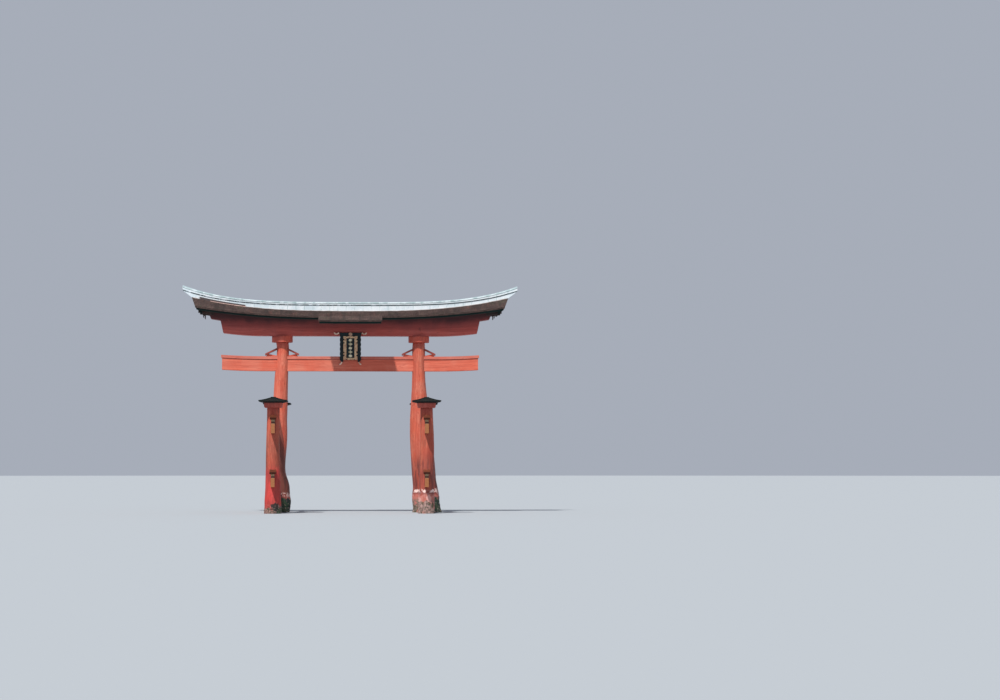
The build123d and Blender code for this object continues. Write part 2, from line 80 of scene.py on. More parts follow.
def sweepLift(x, radius):
    past = max(abs(x) - beams["level"], 0)
    return radius - math.sqrt(radius ** 2 - past ** 2)


def gableEdge(share):
    x = roof["gableFoot"]
    for _ in range(8):  # settles, because the roof's sweep is slight
        x = roof["gableFoot"] + roof["gableLean"] * (slopeHeight(x, share) - roof["gableLevel"])
    return x


# helpers for colours, nodes and pieces

# a colour from 0 to 255 as linear light, or a socket as it is
def tint(colour):
    if isinstance(colour, bpy.types.NodeSocket):
        return colour
    channels = [part / 255 for part in colour]
    return (*[part / 12.92 if part < 0.04 else ((part + 0.055) / 1.055) ** 2.4 for part in channels], 1)


def dimmed(colour, gain):
    return [gain * part for part in colour]


def feed(tree, node, inputs):
    for key, value in inputs.items():
        if isinstance(value, bpy.types.NodeSocket):
            tree.links.new(value, node.inputs[key])
        else:
            node.inputs[key].default_value = value


def place(tree, kind, inputs=None, **settings):
    node = tree.nodes.new("ShaderNode" + kind)
    for key, value in settings.items():
        setattr(node, key, value)
    feed(tree, node, inputs or {})
    return node


def calc(tree, operation, first, second=0.0, clamp=False):
    return place(tree, "Math", {0: first, 1: second}, operation=operation, use_clamp=clamp).outputs[0]


def plus(tree, first, second):
    return calc(tree, "ADD", first, second)


def minus(tree, first, second):
    return calc(tree, "SUBTRACT", first, second)


def product(tree, *factors):
    result = factors[0]
    for factor in factors[1:]:
        result = calc(tree, "MULTIPLY", result, factor)
    return result


def remap(tree, value, low, high, toLow=0.0, toHigh=1.0):
    inputs = {"Value": value, "From Min": low, "From Max": high, "To Min": toLow, "To Max": toHigh}
    return place(tree, "MapRange", inputs, interpolation_type="SMOOTHSTEP").outputs[0]


def blend(tree, factor, under, over):
    return place(tree, "Mix", {0: factor, 6: tint(under), 7: tint(over)}, data_type="RGBA").outputs[2]


def cloud(tree, vector, scale, detail, roughness, distortion=0.0):
    inputs = {
        "Vector": vector, "Scale": scale, "Detail": detail, "Roughness": roughness, "Distortion": distortion,
    }
    return place(tree, "TexNoise", inputs).outputs[0]


# a cloud that swings either side of nought
def sway(tree, vector, scale, detail, roughness, amount=1.0):
    return product(tree, minus(tree, cloud(tree, vector, scale, detail, roughness), 0.5), amount)


def stretched(tree, vector, scale):
    return place(tree, "VectorMath", {0: vector, 1: scale}, operation="MULTIPLY").outputs[0]


def splitUp(tree, vector):
    return place(tree, "SeparateXYZ", {0: vector}).outputs


def newGroup(name, inputs, outputs):
    group = bpy.data.node_groups.new(name, "ShaderNodeTree")
    for title, kind, value in inputs:
        socket = group.interface.new_socket(title, in_out="INPUT", socket_type="NodeSocket" + kind)
        if kind == "Float":
            socket.default_value = value
    for title in outputs:
        group.interface.new_socket(title, in_out="OUTPUT", socket_type="NodeSocketFloat")
    return group, group.nodes.new("NodeGroupInput").outputs, group.nodes.new("NodeGroupOutput")


def useGroup(tree, group, inputs):
    node = tree.nodes.new("ShaderNodeGroup")
    node.node_tree = group
    feed(tree, node, inputs)
    return node.outputs


def newMaterial(name):
    material = bpy.data.materials.new(name)
    material.use_nodes = True
    tree = material.node_tree
    tree.nodes.clear()
    shader = tree.nodes.new("ShaderNodeBsdfPrincipled")
    out = tree.nodes.new("ShaderNodeOutputMaterial")
    tree.links.new(shader.outputs[0], out.inputs[0])
    coords = tree.nodes.new("ShaderNodeTexCoord").outputs["Object"]
    return material, tree, shader, coords


def finishShader(tree, shader, colour, roughness, height, strength, distance=0.02, gloss=0.5):
    bump = place(tree, "Bump", {"Height": height, "Strength": strength, "Distance": distance})
    feed(tree, shader, {"Base Color": colour, "Roughness": roughness, "Normal": bump.outputs[0]})
    shader.inputs["Specular IOR Level"].default_value = gloss


# height above one of the curves
def heightOverCurve(tree, coords, name):
    base, rise, power, reach = curves[name]
    split = splitUp(tree, coords)
    share = calc(tree, "DIVIDE", calc(tree, "ABSOLUTE", split[0]), reach)
    lift = product(tree, calc(tree, "POWER", share, power), rise)
    return minus(tree, split[2], plus(tree, lift, base))


# height with the sweep of a beam taken off
def heightOverSweep(tree, coords, radius):
    split = splitUp(tree, coords)
    fromMiddle = calc(tree, "ABSOLUTE", split[0])
    past = calc(tree, "MAXIMUM", minus(tree, fromMiddle, beams["level"]), 0)
    return minus(tree, split[2], calc(tree, "DIVIDE", product(tree, past, past), 2 * radius))


def addObject(name, data):
    made = bpy.data.objects.new(name, data)
    bpy.context.scene.collection.objects.link(made)
    return made


def addPiece(name, bm, material, sharpAngle=35):
    bmesh.ops.recalc_face_normals(bm, faces=bm.faces)
    mesh = bpy.data.meshes.new(name)
    bm.to_mesh(mesh)
    bm.free()
    mesh.materials.append(material)
    mesh.shade_smooth()
    mesh.set_sharp_from_angle(angle=math.radians(sharpAngle))
    piece = addObject(name, mesh)
    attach(piece, "root")
    return piece


# every node of the frame whose name starts like this wears the material
def dress(material, *starts):
    for name in nodes:
        if name.startswith(starts):
            nodes[name].data.materials.clear()
            nodes[name].data.materials.append(material)


# a closed sheet: pointAt gives the place of each point of its outer face from its share across and along
def addSheet(bm, columns, rows, pointAt, thickness, outward):
    grid = bmesh.ops.create_grid(bm, x_segments=columns, y_segments=rows, size=0.5)
    for vert in grid["verts"]:
        vert.co = pointAt(vert.co.x + 0.5, vert.co.y + 0.5)
    faces = list({face for vert in grid["verts"] for face in vert.link_faces})
    for face in faces:
        face.normal_update()
    if sum((face.normal for face in faces), Vector()).dot(Vector(outward)) < 0:
        bmesh.ops.reverse_faces(bm, faces=faces)
    bm.normal_update()
    bmesh.ops.solidify(bm, geom=faces, thickness=thickness)


# a closed bar: pointAt gives the place of each point from its share along and its turn round
def addBar(bm, columns, corners, pointAt):
    grid = bmesh.ops.create_grid(bm, x_segments=columns, y_segments=corners, size=0.5)
    verts = grid["verts"]
    for vert in verts:
        vert.co = pointAt(vert.co.x + 0.5, 2 * math.pi * ((vert.co.y + 0.5) % 1))
    bmesh.ops.remove_doubles(bm, verts=verts, dist=0.00001)
    rims = [edge for edge in bm.edges if edge.is_boundary]
    bmesh.ops.holes_fill(bm, edges=rims)


def addBlock(bm, corner, opposite):
    middle = (Vector(corner) + Vector(opposite)) / 2
    size = Vector(opposite) - Vector(corner)
    shape = Matrix.Translation(middle) @ Matrix.Diagonal((*size, 1))
    return bmesh.ops.create_cube(bm, size=1, matrix=shape)["verts"]


# shared shader effects

def makeTimberGrain():
    sockets = [("Vector", "Vector", 0), ("Scale", "Float", 4)]
    group, given, leave = newGroup("timberGrain", sockets, ["Shade", "Height"])
    fibres = cloud(group, given["Vector"], given["Scale"], 6, 0.65)
    broad = cloud(group, given["Vector"], product(group, given["Scale"], 0.22), 3, 0.5, 0.4)
    crack = cloud(group, given["Vector"], product(group, given["Scale"], 0.6), 2, 0.5, 0.2)
    split = remap(group, calc(group, "ABSOLUTE", minus(group, crack, 0.5)), 0.0, 0.018)
    shade = product(group, plus(group, fibres, broad), 0.5)
    shade = product(group, shade, remap(group, split, 0, 1, 0.75, 1))
    raised = plus(group, product(group, fibres, 0.5), 0.5)
    feed(group, leave, {"Shade": shade, "Height": product(group, raised, split)})
    return group


def makeRainStreaks():
    sockets = [("Vector", "Vector", 0), ("Scale", "Float", 3), ("Length", "Float", 0.1), ("Amount", "Float", 0.5)]
    group, given, leave = newGroup("rainStreaks", sockets, ["Mask"])
    split = splitUp(group, given["Vector"])
    along = product(group, split[2], given["Length"])
    joined = place(group, "CombineXYZ", {0: split[0], 1: split[1], 2: along}).outputs[0]
    runs = cloud(group, joined, given["Scale"], 5, 0.6)
    level = minus(group, 0.78, product(group, given["Amount"], 0.36))
    spread = plus(group, runs, sway(group, given["Vector"], 0.5, 2, 0.5, 0.35))
    feed(group, leave, {"Mask": remap(group, spread, level, plus(group, level, 0.16))})
    return group


# what the sea leaves on a foot: crust up to a ragged line, a pale rim, peeled flakes, weed on one side
def makeTideMarks():
    sockets = [("Vector", "Vector", 0), ("Side", "Float", 0), ("Crust", "Float", 1.0), ("Rim", "Float", 1.2),
               ("FlakeTop", "Float", 1.7), ("Weed", "Float", 0.8)]
    group, given, leave = newGroup("tideMarks", sockets, ["Crust", "Rim", "Flakes", "Weed"])
    spot = given["Vector"]
    height = splitUp(group, spot)[2]
    ragged = sway(group, spot, 1.6, 5, 0.6)
    coarse = sway(group, spot, 3.4, 4, 0.65)
    fine = sway(group, spot, 9, 4, 0.7)
    wobble = plus(group, product(group, ragged, 0.9), product(group, coarse, 0.4))
    bend = product(group, plus(group, wobble, fine), 0.5)

    def below(level, shift):
        return minus(group, plus(group, level, shift), height)

    crust = remap(group, below(given["Crust"], wobble), -0.03, 0.06)
    rim = remap(group, calc(group, "ABSOLUTE", below(given["Rim"], bend)), 0.13, 0.08)
    broken = remap(group, cloud(group, spot, 2.8, 3, 0.6), 0.42, 0.5)
    chipped = remap(group, cloud(group, spot, 7.5, 3, 0.6), 0.38, 0.42)
    rim = product(group, rim, broken, chipped)
    flakes = remap(group, cloud(group, spot, 2.2, 4, 0.65), 0.52, 0.57)
    span = remap(group, below(given["FlakeTop"], coarse), 0.0, 0.08)
    flakes = product(group, flakes, span)
    low = remap(group, below(given["Weed"], product(group, coarse, 1.2)), 0, 0.1)
    near = remap(group, plus(group, given["Side"], product(group, ragged, 1.6)), 0.05, 0.25)
    feed(group, leave, {"Crust": crust, "Rim": rim, "Flakes": flakes, "Weed": product(group, low, near)})
    return group


timberGrain = makeTimberGrain()
rainStreaks = makeRainStreaks()
tideMarks = makeTideMarks()
print("shader groups made")


def rainMask(tree, vector, scale, length, amount):
    inputs = {"Vector": vector, "Scale": scale, "Length": length, "Amount": amount}
    return useGroup(tree, rainStreaks, inputs)["Mask"]


# what the tide leaves on every foot
tideTints = dict(
    underBelt=(104, 46, 46), flake=(236, 214, 208), rosyFlake=(214, 150, 146), rim=(238, 206, 198),
    darkCrust=(62, 58, 50), moss=(58, 66, 44), deepWeed=(8, 26, 34), weed=(18, 62, 40), spot=(24, 28, 25),
)


# one post's red lower part and its stains, then the colours that the sea leaves
def paintFoot(tree, coords, colour, relief, rough, foot):
    crustTop, rimTop, flakeTop, weedTop = foot["tide"]
    flakeAmount, rimAmount, beltAmount = foot["amounts"]
    pink, light = foot["crustTints"]
    local = place(tree, "VectorMath", {0: coords, 1: (*foot["centre"], 0)}, operation="SUBTRACT").outputs[0]
    split = splitUp(tree, local)
    height = split[2]
    aim = math.radians(foot["weedTowards"])
    side = plus(tree, product(tree, split[0], math.cos(aim)), product(tree, split[1], math.sin(aim)))
    onFront = remap(tree, split[1], 0.1, -0.1)
    tide = useGroup(tree, tideMarks, {
        "Vector": coords, "Side": side, "Crust": crustTop, "Rim": rimTop, "FlakeTop": flakeTop, "Weed": weedTop,
    })

    def cover(mask, shade):
        return blend(tree, mask, colour, shade)

    if "red" in foot:
        level, red = foot["red"]
        waved = plus(tree, height, sway(tree, coords, 1.3, 4, 0.6, 1.2))
        lower = remap(tree, waved, level + 0.4, level - 0.3)
        mixed = remap(tree, cloud(tree, stretched(tree, coords, (1, 1, 0.3)), 2.6, 4, 0.65), 0.4, 0.62)
        colour = cover(product(tree, lower, 0.85), blend(tree, mixed, red, dimmed(red, 0.8)))
    # brown stain down one side; on the left trunk it is also painted shadow of the front sleeve
    if "brown" in foot:
        low, high, amount, sideFrom, brown = foot["brown"]
        runs = product(tree, rainMask(tree, coords, 3.6, 0.16, 0.85), 1.2)
        span = product(tree, remap(tree, height, low, low + 0.5), remap(tree, height, high, high - 1.6))
        soak = remap(tree, plus(tree, side, runs), sideFrom, sideFrom + 1.4)
        fibres = cloud(tree, stretched(tree, coords, (1, 1, 0.12)), 5.5, 4, 0.65)
        stripes = remap(tree, fibres, 0.4, 0.58, foot.get("stripes", 0.35), 1)
        colour = cover(product(tree, span, soak, stripes, amount), brown)
    # painted shadow with brown stain in it, inside a slanting edge on the post's front
    if "slant" in foot:
        topX, topHeight, lowX, lowHeight, shade = foot["slant"]
        run = {"Value": height, "From Min": lowHeight, "From Max": topHeight, "To Min": lowX, "To Max": topX}
        fray = sway(tree, stretched(tree, coords, (1, 1, 0.2)), 8, 5, 0.75, 0.12)
        edge = plus(tree, place(tree, "MapRange", run).outputs[0], fray)
        inside = remap(tree, minus(tree, edge, splitUp(tree, coords)[0]), 0.0, 0.05)
        span = product(tree, remap(tree, height, topHeight + 0.1, topHeight - 0.3), onFront)
        colour = cover(product(tree, span, inside, 0.85), shade)
    belt = product(tree, remap(tree, height, rimTop + 0.08, rimTop - 0.05), beltAmount)
    mottle = remap(tree, cloud(tree, coords, 3.4, 4, 0.7), 0.36, 0.56, 0.4, 1)
    under = plus(tree, minus(tree, rimTop, height), product(tree, mottle, 0.3))
    beltShade = blend(tree, remap(tree, under, 0.42, 0.62), tideTints["underBelt"], pink)
    colour = cover(product(tree, belt, mottle), beltShade)
    flakeMix = cloud(tree, coords, 7, 3, 0.6)
    flakeShade = blend(tree, flakeMix, tideTints["flake"], tideTints["rosyFlake"])
    colour = cover(product(tree, tide["Flakes"], flakeAmount), flakeShade)
    colour = cover(product(tree, tide["Rim"], rimAmount), tideTints["rim"])
    speckle = cloud(tree, coords, 8, 5, 0.75)
    patch = cloud(tree, coords, 2.1, 4, 0.6)
    mossy = remap(tree, cloud(tree, coords, 4.2, 3, 0.6), 0.54, 0.62)
    crustShade = blend(tree, remap(tree, speckle, 0.38, 0.62), tideTints["darkCrust"], light)
    crustShade = blend(tree, remap(tree, patch, 0.5, 0.6), crustShade, pink)
    crustShade = blend(tree, mossy, crustShade, tideTints["moss"])
    colour = cover(product(tree, tide["Crust"], 0.95), crustShade)
    weedMix = remap(tree, patch, 0.4, 0.56)
    weedShade = blend(tree, weedMix, tideTints["deepWeed"], tideTints["weed"])
    colour = cover(product(tree, tide["Weed"], 0.92), weedShade)
    # a dark, ragged patch low on the post's front
    if "spot" in foot:
        spotX, spotHeight, halfWide, halfHigh = foot["spot"]
        offSpot = place(tree, "VectorMath", {0: coords, 1: (spotX, 0, spotHeight)}, operation="SUBTRACT").outputs[0]
        scaled = stretched(tree, offSpot, (1 / halfWide, 0, 1 / halfHigh))
        away = place(tree, "VectorMath", {0: scaled}, operation="LENGTH").outputs["Value"]
        torn = plus(tree, away, sway(tree, coords, 4, 2, 0.6, 1.5))
        colour = cover(product(tree, remap(tree, torn, 1.05, 0.9), onFront, 0.95), tideTints["spot"])
    relief = plus(tree, relief, product(tree, tide["Crust"], speckle, 1.6))
    rough = calc(tree, "ADD", rough, product(tree, tide["Crust"], 0.2), clamp=True)
    return colour, relief, rough


# bare end grain on the two tips of a beam, its rings centred on each tip
def paintEnds(tree, coords, colour, tips):
    axis, reach, shade, sideways, low, high = tips
    split = splitUp(tree, coords)
    across = minus(tree, calc(tree, "ABSOLUTE", split[1 - axis]), sideways)
    middle = (low + high) / 2
    heart = remap(tree, split[2], middle - 0.01, middle + 0.01, low, high)
    centred = place(tree, "CombineXYZ", {0: across, 2: minus(tree, split[2], heart)}).outputs[0]
    ringInputs = {"Vector": centred, "Scale": 6, "Distortion": 2.5, "Detail": 3}
    rings = place(tree, "TexWave", ringInputs, wave_type="RINGS", rings_direction="Y").outputs[1]
    tip = remap(tree, calc(tree, "ABSOLUTE", split[axis]), reach - 0.004, reach - 0.001)
    return blend(tree, tip, colour, blend(tree, rings, shade, dimmed(shade, 0.86)))


# What painted members share. Colours are the paint, where it has faded, its grain and its streaks. A band is a
# foot, head, colour and amount; bands are painted shade under the member above or along a foot. A shade line is
# a level, half height and colour: a thin painted shadow. Ends are an axis, reach and colour, then
# how far out and at what two heights the rings are centred.
timberBase = dict(
    patch=0.7, grain=9, grainDepth=0.55, waver=0.12, bands=(), streaks=0.4, streakScale=3.5,
    streakLength=0.1, streakDepth=0.6, shadeLines=(), rough=0.6, bump=0.5, gloss=0.5,
)


def paintedTimber(name, values):
    look = dict(timberBase, **values)
    paint, faded, deep, streak = look["colours"]
    material, tree, shader, coords = newMaterial(name)
    along = stretched(tree, coords, look["stretch"])
    grain = useGroup(tree, timberGrain, {"Vector": along, "Scale": look["grain"]})
    fade = remap(tree, cloud(tree, coords, look["patch"], 5, 0.6), 0.38, 0.66)
    colour = blend(tree, fade, paint, faded)
    colour = blend(tree, remap(tree, grain["Shade"], 0.42, 0.62, look["grainDepth"], 0), colour, deep)
    height = heightOverSweep(tree, coords, look["sweep"]) if "sweep" in look else splitUp(tree, coords)[2]
    wave = product(tree, minus(tree, fade, 0.5), look["waver"])
    # painted shade: each band darkens the paint towards a member above or along a foot
    for low, high, shade, amount in look["bands"]:
        mask = remap(tree, plus(tree, height, wave), low, high, 0, amount)
        colour = blend(tree, mask, colour, shade)
    streaks = rainMask(tree, coords, look["streakScale"], look["streakLength"], look["streaks"])
    colour = blend(tree, product(tree, streaks, look["streakDepth"]), colour, streak)
    relief = grain["Height"]
    rough = remap(tree, grain["Shade"], 0.3, 0.7, look["rough"] + 0.12, look["rough"])
    if "foot" in look:
        colour, relief, rough = paintFoot(tree, coords, colour, relief, rough, look["foot"])
    if "ends" in look:
        colour = paintEnds(tree, coords, colour, look["ends"])
    # painted shadow: each shade line is a thin dark line at a level
    for level, half, shade in look["shadeLines"]:
        off = calc(tree, "ABSOLUTE", minus(tree, height, level))
        colour = blend(tree, remap(tree, off, half, half * 0.4), colour, shade)
    finishShader(tree, shader, colour, rough, relief, look["bump"], gloss=look["gloss"])
    return material


postKinds = dict(
    trunk=dict(node="main_post", voxel=0.04, shells=420, look=dict(
        colours=((214, 103, 77), (216, 122, 98), (182, 73, 53), (126, 60, 44)), stretch=(1, 1, 0.08),
        grain=7, grainDepth=0.75, patch=1.1, streaks=0.42, rough=0.55, bump=0.6,
        # the band is painted shade at the trunk's top, under the collar
        bands=((11.6, 12.3, (176, 70, 58), 0.7),),
    )),
    sleeve=dict(node="sleeve_post", voxel=0.036, shells=170, look=dict(
        colours=((192, 86, 62), (198, 110, 84), (156, 58, 42), (112, 62, 44)), stretch=(1, 1, 0.06),
        # the band is painted shade at the sleeve's top, under the capital
        grainDepth=0.75, streaks=0.55, bump=0.6, bands=((6.9, 7.4, (150, 58, 48), 0.7),),
    )),
)
# The six posts. "tide" is where crust, rim, flakes and weed end, "amounts" is how much there is of flakes, rim
# and belt, "crustTints" the pink and the light one. "brown" is a stain's foot, head, amount, start across the
# post and colour, "slant" the upper and the lower end of the slanting edge of painted shadow with brown stain
# in it and its colour, "red" the height under which the post is red and its colour, "spot" the middle and the
# half size of a dark patch. Each swell goes towards +X or -X, at a height, over a half height, by so much.
postValues = {
    # on the left trunk the brown and the slant are brown stain with the front sleeve's shadow painted in
    ("trunk", "left"): dict(
        centre=(-5.3, 0), seed=0, tide=(0.95, 1.27, 1.3, 1.0), weedTowards=0, amounts=(0.25, 0.6, 0.4),
        crustTints=((186, 76, 74), (112, 104, 96)), brown=(0.9, 5.2, 0.95, -0.7, (88, 50, 42)),
        slant=(-5.05, 6.85, -4.74, 5.2, (104, 52, 42)), stripes=0.75,
        swells=((1, 1.95, 1.0, 0.15), (1, 0.85, 0.85, 0.09), (1, 5.0, 1.9, 0.09)),
    ),
    ("sleeve", "left_front"): dict(
        centre=(-5.41, -4.4), seed=0, tide=(0.36, 0.5, 0.5, 0.45), weedTowards=20, amounts=(0.0, 0.1, 0.0),
        crustTints=((176, 72, 76), (150, 118, 108)), brown=(3.0, 6.2, 0.8, -0.8, (116, 60, 46)),
        red=(3.2, (196, 56, 54)), spot=(-5.26, 0.46, 0.3, 0.29), swells=((-1, 4.6, 2.6, 0.04),),
    ),
    ("sleeve", "left_rear"): dict(
        centre=(-5.41, 4.4), seed=2.3, tide=(0.6, 0.9, 1.0, 0.7), weedTowards=60, amounts=(0.5, 0.5, 0.3),
        crustTints=((196, 92, 88), (160, 134, 124)), red=(2.4, (196, 60, 56)),
    ),
    ("trunk", "right"): dict(
        centre=(5.5, 0), seed=3.7, tide=(1.0, 1.58, 1.6, 1.1), weedTowards=0, amounts=(0.4, 1.0, 0.8),
        crustTints=((184, 112, 102), (138, 126, 112)), brown=(1.2, 4.6, 1.0, -1.9, (100, 46, 42)),
        colours=((204, 98, 72), (206, 118, 94), (168, 68, 50), (126, 60, 44)),
        swells=((-1, 1.0, 0.95, 0.12), (1, 1.3, 1.1, 0.1), (-1, 6.0, 2.8, 0.055)),
    ),
    ("sleeve", "right_front"): dict(
        centre=(5.41, -4.4), seed=5.1, tide=(0.85, 1.6, 1.6, 0.3), weedTowards=30, amounts=(0.45, 1.0, 0.8),
        crustTints=((188, 122, 112), (184, 152, 144)), brown=(1.2, 4.8, 0.85, -1.3, (110, 50, 44)),
        swells=((1, 4.9, 2.7, 0.08),),
    ),
    ("sleeve", "right_rear"): dict(
        centre=(5.41, 4.4), seed=7.4, tide=(0.8, 1.2, 1.4, 0.8), weedTowards=60, amounts=(0.7, 0.7, 0.6),
        crustTints=((192, 112, 104), (164, 140, 130)), brown=(1.2, 4.4, 0.6, -0.9, (104, 48, 42)),
    ),
}
# the other painted members; "on" is how the names of the nodes that wear the paint start
timberLooks = dict(
    tiePaint=dict(
        on=["tie_beam", "centre_strut", "tie_wedges"], stretch=(0.05, 1, 1), grain=8, streaks=0.22, rough=0.55,
        colours=((216, 102, 76), (220, 122, 98), (182, 74, 54), (128, 60, 46)), sweep=beams["tieRadius"], waver=0.04,
        # the band is painted shade along the tie's foot, the shade line a painted shadow under the cover's oversail
        bands=((10.27, 10.21, (168, 70, 50), 0.6),), shadeLines=((11.06, 0.025, (120, 40, 34)),),
        ends=(0, 9.25, (196, 110, 84), 0, 10.72, 10.72),
    ),
    # after tiePaint, because this name starts with tie_beam too
    coverPaint=dict(
        on=["tie_beam_cover"], colours=((206, 108, 90), (212, 130, 112), (176, 80, 64), (140, 70, 58)),
        stretch=(0.05, 1, 1), streaks=0.3, rough=0.58,
    ),
    beamPaint=dict(
        on=["lower_top_beam", "upper_top_beam"],
        colours=((202, 88, 76), (196, 96, 86), (158, 62, 56), (96, 42, 40)), stretch=(0.05, 1, 1),
        grain=8, streakLength=0.5, sweep=beams["radius"], waver=0.2,
        # the bands are painted shade, darker towards the eave above
        bands=((12.95, 13.55, (140, 58, 56), 0.85), (13.4, 14.0, (66, 32, 35), 0.9)),
    ),
    collarPaint=dict(
        on=["post_collar"], colours=((206, 88, 66), (196, 94, 76), (166, 62, 50), (110, 46, 40)),
        # the band is painted shade at the collar's top, under the beam
        stretch=(1, 1, 0.1), grain=8, streaks=0.35, bands=((12.62, 12.75, (140, 52, 46), 0.8),),
    ),
    capitalPaint=dict(
        on=["sleeve_capital"], colours=((190, 82, 66), (180, 88, 76), (140, 56, 48), (84, 42, 38)),
        # the band is painted shade at the capital's top, under the little roof
        stretch=(1, 1, 0.1), grain=8, streaks=0.5, bands=((7.7, 7.8, (104, 46, 42), 0.6),),
    ),
    crossTiePaint=dict(
        on=["cross_tie_left", "cross_tie_right"],
        colours=((198, 78, 58), (196, 104, 82), (150, 56, 44), (96, 52, 42)), stretch=(1, 0.06, 1),
        streaks=0.45, ends=(1, 5.55, (164, 102, 58), 5.41, 2.18, 5.98),
    ),
    wedgeWood=dict(
        on=["cross_tie_wedges"], colours=((122, 86, 66), (146, 108, 84), (84, 56, 46), (70, 46, 38)),
        stretch=(1, 0.1, 1), grain=14, rough=0.7, ends=(1, 5.315, (178, 158, 122), 5.41, 2.66, 6.48),
        # the shade lines are painted shadow in the gap between each wedge and its tie
        shadeLines=((2.57, 0.09, (50, 26, 16)), (6.4, 0.1, (50, 26, 16))),
    ),
    hoodPaint=dict(
        on=["wedge_hoods"], colours=((150, 60, 50), (162, 72, 58), (104, 42, 38), (80, 38, 34)),
        stretch=(0.1, 1, 1), grain=10, rough=0.62,
    ),
    smallHoodPaint=dict(
        on=["cross_tie_hoods"], colours=((99, 50, 32), (116, 62, 44), (66, 34, 22), (70, 36, 24)),
        stretch=(1, 0.1, 1), grain=10, streaks=0.5, rough=0.8, gloss=0.15,
        # the shade lines are painted shade along each hood's foot
        shadeLines=((2.86, 0.1, (50, 22, 12)), (6.69, 0.1, (50, 22, 12))),
    ),
    greenPaint=dict(
        on=["eave_board", "gable_board"], colours=((5, 32, 28), (10, 40, 36), (3, 18, 17), (3, 12, 12)),
        stretch=(0.06, 1, 1), streaks=0.35, gloss=0.25,
    ),
    sleeveRoofPaint=dict(
        on=["sleeve_roof"], colours=((7, 22, 21), (16, 34, 32), (3, 12, 12), (5, 14, 14)),
        stretch=(1, 1, 1), grain=5, streaks=0.35, gloss=0.25,
    ),
    darkWood=dict(
        on=["gable_purlins"], colours=((54, 34, 30), (70, 46, 38), (30, 20, 20), (22, 16, 16)),
        stretch=(0.1, 1, 1),
    ),
)


def nodeOf(kind, tail):
    return f"{postKinds[kind]['node']}_{tail}"


for (kind, tail), values in postValues.items():
    look = postKinds[kind]["look"]
    look = dict(look, foot=values, colours=values.get("colours", look["colours"]))
    dress(paintedTimber(f"{kind}Paint_{tail}", look), nodeOf(kind, tail))
paints = {}
for name, look in timberLooks.items():
    paints[name] = paintedTimber(name, look)
    dress(paints[name], *look["on"])
print("painted timber made")


barkLook = dict(
    bark=(72, 53, 49), paleBark=(94, 73, 68), stain=(108, 66, 58), moss=(66, 68, 50),
    band=(38, 28, 27), strip=(42, 31, 29), edge=(54, 41, 38), paleEdge=(88, 68, 63), darkEdge=(50, 37, 34),
)


def makeBark():
    material, tree, shader, coords = newMaterial("barkShingle")
    strips = cloud(tree, stretched(tree, coords, (1, 0.12, 0.5)), 16, 5, 0.7)
    patches = cloud(tree, coords, 1.1, 5, 0.6)
    bands = cloud(tree, stretched(tree, coords, (1, 0.08, 0.1)), 3.0, 3, 0.55)
    stains = rainMask(tree, stretched(tree, coords, (1, 0.15, 0.3)), 2.6, 0.2, 0.6)
    colour = blend(tree, remap(tree, patches, 0.35, 0.65), barkLook["bark"], barkLook["paleBark"])
    colour = blend(tree, product(tree, stains, 0.6), colour, barkLook["stain"])
    moss = remap(tree, cloud(tree, coords, 1.6, 4, 0.6), 0.53, 0.64)
    colour = blend(tree, product(tree, moss, 0.5), colour, barkLook["moss"])
    colour = blend(tree, remap(tree, bands, 0.5, 0.6, 0, 0.55), colour, barkLook["band"])
    colour = blend(tree, remap(tree, strips, 0.4, 0.62, 0.7, 0), colour, barkLook["strip"])
    finishShader(tree, shader, colour, 0.9, strips, 0.7, 0.03)
    return material


def makeBarkEdge():
    material, tree, shader, coords = newMaterial("barkCutEdge")
    layers = cloud(tree, stretched(tree, coords, (0.12, 0.12, 1)), 60, 3, 0.6)
    patches = cloud(tree, coords, 2.2, 4, 0.6)
    colour = blend(tree, remap(tree, layers, 0.38, 0.62), barkLook["edge"], barkLook["paleEdge"])
    colour = blend(tree, remap(tree, patches, 0.48, 0.62, 0, 0.8), colour, barkLook["darkEdge"])
    finishShader(tree, shader, colour, 0.9, layers, 0.8, 0.02)
    return material


# colours of the ridge's copper, and the level of its painted shadow line from the top of the course
copper = dict(
    pale=(200, 214, 222), bright=(226, 233, 238), fine=(184, 202, 206), run=(142, 164, 166),
    line=(44, 66, 56), head=(142, 164, 172), torn=(52, 34, 34), top=(134, 156, 154), shadowLineLevel=-0.012,
)


